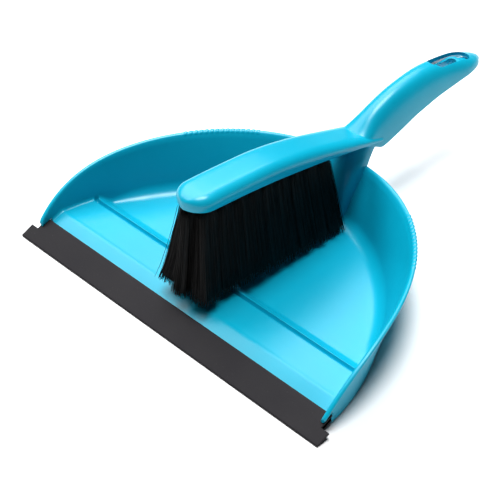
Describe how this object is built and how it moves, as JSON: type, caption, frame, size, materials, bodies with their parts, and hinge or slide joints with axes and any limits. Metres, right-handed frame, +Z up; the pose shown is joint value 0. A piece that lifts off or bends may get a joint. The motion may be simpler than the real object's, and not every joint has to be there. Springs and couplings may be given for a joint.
{
  "type": "dust pan and brush set",
  "caption": "Moulded dust pan with a rubber lip and comb teeth, and a hand brush whose hollow handle nests over the pan's handle.",
  "frame": {"origin": "on the floor, under the middle of the set's bounding box", "axes": "+Y from the rubber lip towards the handles, +Z up, X along the lip"},
  "size_m": [0.3, 0.3376, 0.1013],
  "materials": {
    "cyan_plastic": "semi-gloss moulded polypropylene",
    "lip_rubber": "satin",
    "bristle": "satin filament",
    "staple_steel": "drawn flat wire"
  },
  "bodies": {
    "pan": {"dust_pan": "cyan_plastic"},
    "lip": {"rubber_lip": "lip_rubber"},
    "brush": {"brush_block": "cyan_plastic", "bristle_tuft_row1_01": "bristle", "bristle_tuft_row1_02": "bristle", "bristle_tuft_row1_03": "bristle", "bristle_tuft_row1_04": "bristle", "bristle_tuft_row1_05": "bristle", "bristle_tuft_row1_06": "bristle", "bristle_tuft_row1_07": "bristle", "bristle_tuft_row1_08": "bristle", "bristle_tuft_row1_09": "bristle", "bristle_tuft_row2_01": "bristle", "bristle_tuft_row2_02": "bristle", "bristle_tuft_row2_03": "bristle", "bristle_tuft_row2_04": "bristle", "bristle_tuft_row2_05": "bristle", "bristle_tuft_row2_06": "bristle", "bristle_tuft_row2_07": "bristle", "bristle_tuft_row2_08": "bristle", "bristle_tuft_row2_09": "bristle", "bristle_tuft_row2_10": "bristle", "bristle_tuft_row3_01": "bristle", "bristle_tuft_row3_02": "bristle", "bristle_tuft_row3_03": "bristle", "bristle_tuft_row3_04": "bristle", "bristle_tuft_row3_05": "bristle", "bristle_tuft_row3_06": "bristle", "bristle_tuft_row3_07": "bristle", "bristle_tuft_row3_08": "bristle", "bristle_tuft_row3_09": "bristle", "tuft_staple_row1_01": "staple_steel", "tuft_staple_row1_02": "staple_steel", "tuft_staple_row1_03": "staple_steel", "tuft_staple_row1_04": "staple_steel", "tuft_staple_row1_05": "staple_steel", "tuft_staple_row1_06": "staple_steel", "tuft_staple_row1_07": "staple_steel", "tuft_staple_row1_08": "staple_steel", "tuft_staple_row1_09": "staple_steel", "tuft_staple_row2_01": "staple_steel", "tuft_staple_row2_02": "staple_steel", "tuft_staple_row2_03": "staple_steel", "tuft_staple_row2_04": "staple_steel", "tuft_staple_row2_05": "staple_steel", "tuft_staple_row2_06": "staple_steel", "tuft_staple_row2_07": "staple_steel", "tuft_staple_row2_08": "staple_steel", "tuft_staple_row2_09": "staple_steel", "tuft_staple_row2_10": "staple_steel", "tuft_staple_row3_01": "staple_steel", "tuft_staple_row3_02": "staple_steel", "tuft_staple_row3_03": "staple_steel", "tuft_staple_row3_04": "staple_steel", "tuft_staple_row3_05": "staple_steel", "tuft_staple_row3_06": "staple_steel", "tuft_staple_row3_07": "staple_steel", "tuft_staple_row3_08": "staple_steel", "tuft_staple_row3_09": "staple_steel"}
  },
  "joints": [
    {"name": "brush_lift", "type": "slide", "parent": "pan", "child": "brush", "axis": [0, 0, 1], "range_m": [0, 0.15]},
    {"name": "lip_flex", "type": "hinge", "parent": "pan", "child": "lip", "pos_m": [0, -0.1588, 0.0039], "axis": [-1, 0, 0], "range_deg": [-10, 30], "stiffness_Nm_per_rad": 1, "deforming": ["rubber_lip"]}
  ]
}
